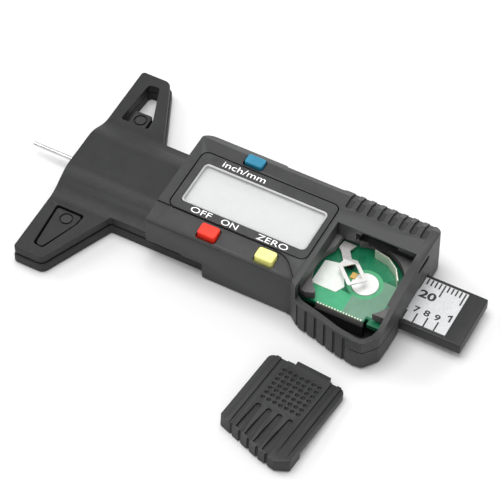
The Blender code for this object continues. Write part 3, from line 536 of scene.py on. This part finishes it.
def make_whole_inch(ink, place):
    """The figure 1 at the whole inch, with a flag."""
    shape = bmesh.new()
    loops = [[shape.verts.new(place + Vector((x * MM, y * MM, z))) for x, y in FIGURE_ONE]
             for z in (0, INK_THICKNESS)]
    shape.faces.new(reversed(loops[0]))
    shape.faces.new(loops[1])
    for i in range(len(FIGURE_ONE)):
        k = (i + 1) % len(FIGURE_ONE)
        shape.faces.new((loops[0][i], loops[0][k], loops[1][k], loops[1][i]))
    mesh_piece("label_inch_whole", shape, ink, "beam")


def make_bezel_words():
    white = plain_material("printing_white", PRINT_WHITE, 0.5)
    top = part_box("display_bezel")[1][2]
    for name, words, x, y, height, wide in BEZEL_WORDS:
        printed_text(name, words, (x * MM, y * MM, top), height * MM, white, "root", wide)


# ---- fine detail in the display and the battery compartment ----
def rounded_loop(shape, low, high, radius, z, steps=6):
    """Vertices round a rectangle with round corners."""
    middles = ((high[0] - radius, high[1] - radius), (low[0] + radius, high[1] - radius),
               (low[0] + radius, low[1] + radius), (high[0] - radius, low[1] + radius))
    loop = []
    for quarter, (x, y) in enumerate(middles):
        for step in range(steps + 1):
            angle = math.pi / 2 * (quarter + step / steps)
            loop.append(shape.verts.new((x + radius * math.cos(angle), y + radius * math.sin(angle), z)))
    return loop


def band(shape, loops):
    """Close a run of equally long loops into a ring-shaped body."""
    for ring, following in zip(loops, loops[1:] + loops[:1]):
        for i in range(len(ring)):
            k = (i + 1) % len(ring)
            shape.faces.new((ring[i], ring[k], following[k], following[i]))
    bmesh.ops.recalc_face_normals(shape, faces=shape.faces)


def make_window_edge():
    """The bevelled edge of the window, on top of the pane, pale grey as a painted highlight where the edge
    catches light.
    """
    low, high = (Vector(corner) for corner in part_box("display_window"))
    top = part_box("display_bezel")[1][2]
    shape = bmesh.new()
    loops = []
    outside = -WINDOW_OVERLAP
    for inset, z in ((outside, top - WINDOW_DROP * MM), (outside, high.z), (WINDOW_EDGE, high.z)):
        gap = Vector((inset, inset, 0)) * MM
        loops.append(rounded_loop(shape, low + gap, high - gap, (WINDOW_CORNER - inset) * MM, z))
    band(shape, loops)
    # Painted highlight: an opaque pale rim for the light caught by the window's edge.
    pale = plain_material("window_rim_highlight", (0.40, 0.40, 0.40), 0.3)
    mesh_piece("window_rim_highlight", shape, pale, "root")


def make_pad_ring():
    """The paler ring of bare board round the round pad."""
    low, high = (Vector(corner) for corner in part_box("negative_pad"))
    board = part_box("main_circuit_board")[1][2]
    middle = (low + high) / 2
    coated = board + COATING
    inner = (high.x - low.x) / 2 + PAD_GAP
    shape = bmesh.new()
    loops = []
    for radius, z in ((inner, board), (inner, coated), (PAD_RING, coated), (PAD_RING, board)):
        reach = Vector((radius, radius, 0))
        # A radius just under half the width keeps the corners from sharing a point.
        loops.append(rounded_loop(shape, middle - reach, middle + reach, radius * 0.999, z, RING_STEPS))
    band(shape, loops)
    mask = plain_material("ring_mask", (0.07, 0.36, 0.17), 0.35)
    mesh_piece("pad_ring", shape, mask, "root")


def make_board_fields():
    """Areas of the board in other greens: a brighter one on the near left, painted light where that part of the
    board is lit, and greyer ones on the right.
    """
    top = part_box("main_circuit_board")[1][2]
    for name, colour, (x0, y0, x1, y1) in BOARD_FIELDS:
        shape = bmesh.new()
        add_block(shape, (x0 * MM, y0 * MM, top), (x1 * MM, y1 * MM, top + COATING / 2))
        mesh_piece(name, shape, plain_material(name + "_mask", colour, 0.35), "root")


def make_board_edge():
    """Bare near edge of the board with a row of small pads above it."""
    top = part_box("main_circuit_board")[1][2]
    shape = bmesh.new()
    low = (EDGE_START, EDGE_NEAR - EDGE_SKIN, top - EDGE_DEPTH)
    add_block(shape, low, (EDGE_END, EDGE_NEAR, top - EDGE_TOP_GAP))
    fibre = plain_material("board_fibre", (0.30, 0.285, 0.26), 0.6)
    mesh_piece("board_edge", shape, fibre, "root")
    shape = bmesh.new()
    for number in range(int((EDGE_END - EDGE_START) / EDGE_PITCH)):
        x = EDGE_START + EDGE_PITCH * (number + EDGE_PAD_SHIFT)
        high = (x + EDGE_PITCH * EDGE_PAD_SHARE, EDGE_NEAR + EDGE_PAD_FAR, top + COATING)
        add_block(shape, (x, EDGE_NEAR + EDGE_PAD_NEAR, top), high)
    mesh_piece("edge_pads", shape, plain_material("edge_tin", (0.75, 0.74, 0.62), 0.4), "root")


def make_small_parts():
    """A dark chip and a gilt one on the board under the spring contact."""
    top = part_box("main_circuit_board")[1][2]
    for name, colour, metallic, (x0, y0, x1, y1), height, slot in SMALL_PARTS:
        shape = bmesh.new()
        add_block(shape, (x0 * MM, y0 * MM, top), (x1 * MM, y1 * MM, top + height * MM))
        mesh_piece(name, shape, plain_material(name + "_skin", colour, 0.35, metallic), "root")


make_camera()
make_studio()
dress_nodes()
for name, width in SHELLS.items():
    refine(name, width)
make_label()
make_bezel_words()
make_window_edge()
make_pad_ring()
make_board_fields()
make_board_edge()
make_small_parts()
